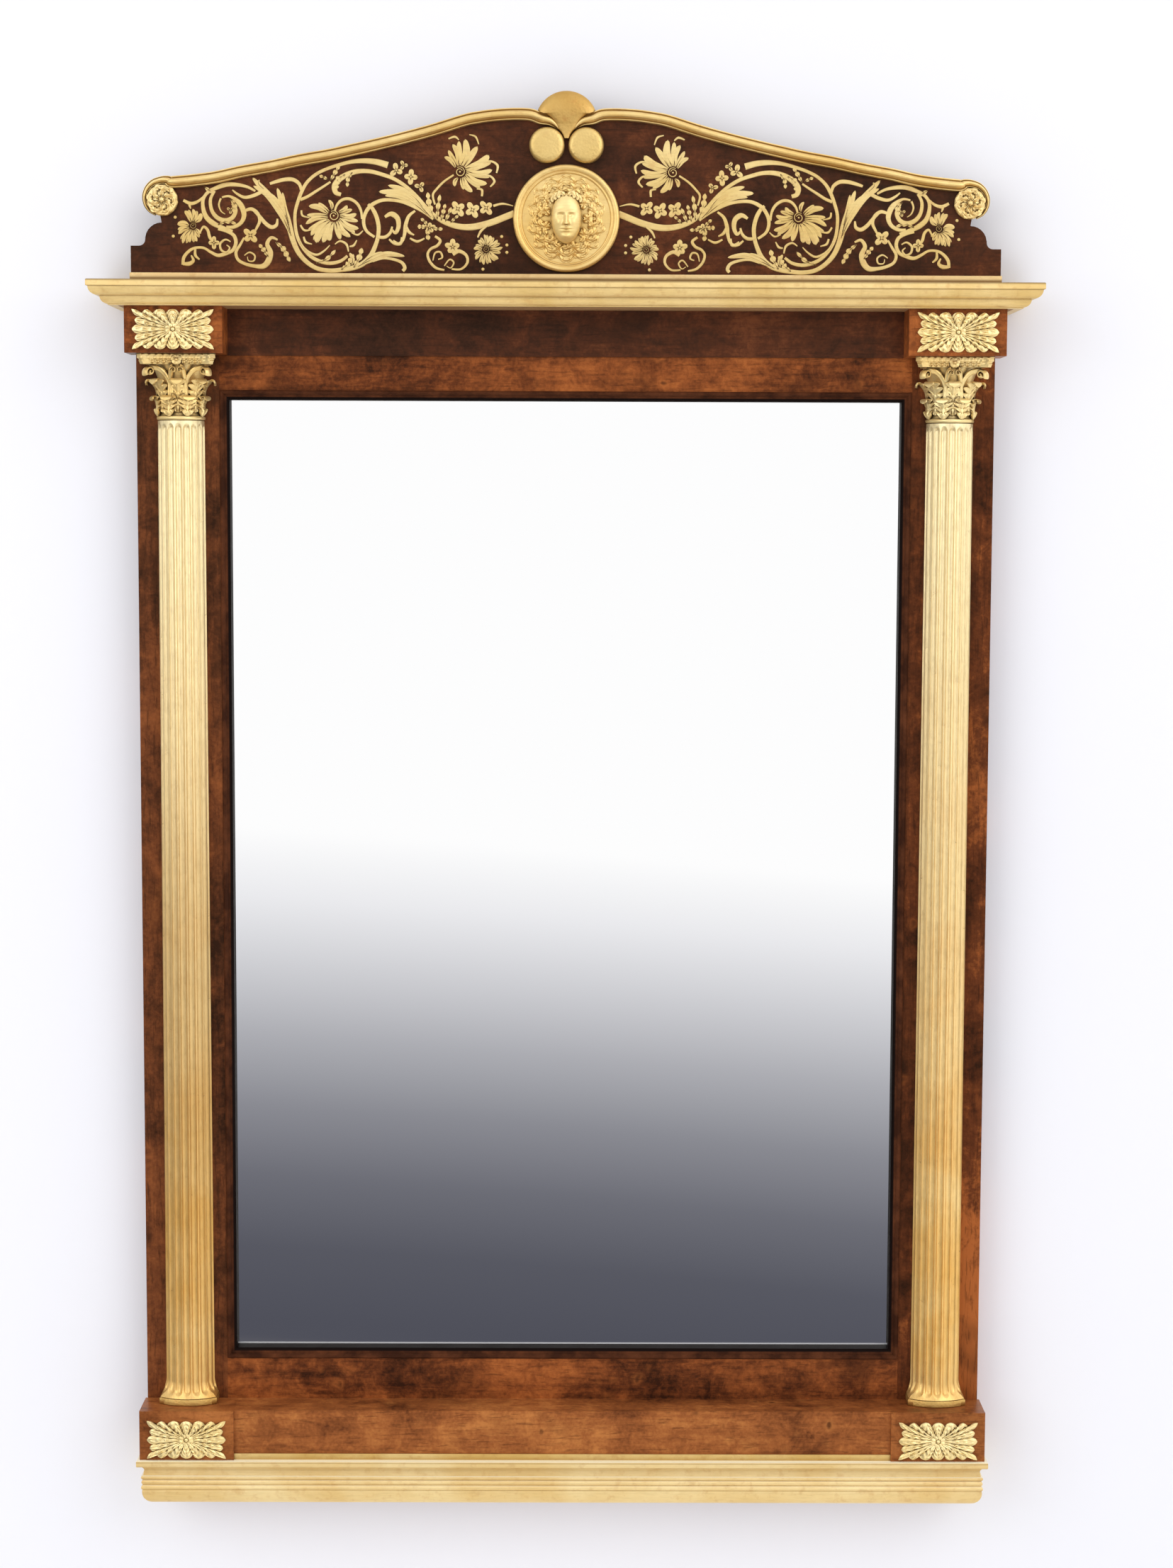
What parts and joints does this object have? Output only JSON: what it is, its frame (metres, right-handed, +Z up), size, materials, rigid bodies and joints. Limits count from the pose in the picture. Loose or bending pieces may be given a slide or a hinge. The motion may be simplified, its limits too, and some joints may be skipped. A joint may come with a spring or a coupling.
{
  "type": "wall mirror",
  "caption": "Wall mirror in a gilt and burr-veneered frame with fluted half columns, leaf capitals, a moulded cornice and a scroll-topped pediment.",
  "frame": {"origin": "on the wall plane, centred between the two hanging rings and level with their pivots", "axes": "+Y into the wall, so the front faces -Y; +Z up; +X to the right as seen from the front"},
  "size_m": [0.9, 0.11, 1.377],
  "materials": {
    "gilding": "water-gilded wood, pale and rubbed on the high parts",
    "burr_veneer": "french-polished burr veneer",
    "dark_veneer": "french-polished dark veneer",
    "ebonised": "polished near-black moulding",
    "mirror": "silvered plate glass",
    "softwood": "planed softwood",
    "backboard": "plain board, darkened with age",
    "brass": "lacquered brass",
    "steel": "blued steel"
  },
  "bodies": {
    "frame": {"stile_left": "dark_veneer", "stile_right": "dark_veneer", "rail_top": "burr_veneer", "rail_bottom": "burr_veneer", "base_core": "softwood", "cornice_core": "softwood", "slip_top": "ebonised", "slip_bottom": "ebonised", "slip_left": "ebonised", "slip_right": "ebonised", "mirror_plate": "mirror", "glazing_blocks": "softwood", "backboard": "backboard", "backboard_screws": "steel", "frieze_board": "dark_veneer", "frieze_block_left": "burr_veneer", "frieze_block_right": "burr_veneer", "base_board": "burr_veneer", "base_strip": "gilding", "base_block_left": "burr_veneer", "base_block_right": "burr_veneer", "base_moulding_front": "gilding", "base_return_left": "gilding", "base_return_right": "gilding", "cornice_front": "gilding", "cornice_return_left": "gilding", "cornice_return_right": "gilding", "column_left": "gilding", "column_right": "gilding", "capital_left": "gilding", "capital_right": "gilding", "column_foot_left": "gilding", "column_foot_right": "gilding", "plaque_top_left": "brass", "plaque_top_right": "brass", "plaque_base_left": "brass", "plaque_base_right": "brass", "plaque_pins": "brass", "pediment_panel": "dark_veneer", "pediment_fillet": "gilding", "raking_moulding_left": "gilding", "raking_moulding_right": "gilding", "corner_rosette_left": "gilding", "corner_rosette_right": "gilding", "volute_disc_left": "gilding", "volute_disc_right": "gilding", "crest_shell": "gilding", "medallion_disc": "gilding", "medallion_mask": "gilding", "scroll_inlay_left": "gilding", "scroll_inlay_right": "gilding", "pediment_batten_left": "softwood", "pediment_batten_right": "softwood", "batten_screws": "steel", "strap_hanger_left": "brass", "strap_hanger_right": "brass", "hanger_screws": "steel"},
    "ring_left": {"hanging_ring_left": "brass"},
    "ring_right": {"hanging_ring_right": "brass"}
  },
  "joints": [
    {"name": "ring_left_turn", "type": "hinge", "parent": "frame", "child": "ring_left", "pos_m": [-0.378, -0.0046, 0], "axis": [1, 0, 0], "range_deg": [0, 175]},
    {"name": "ring_right_turn", "type": "hinge", "parent": "frame", "child": "ring_right", "pos_m": [0.378, -0.0046, 0], "axis": [1, 0, 0], "range_deg": [0, 175]}
  ]
}
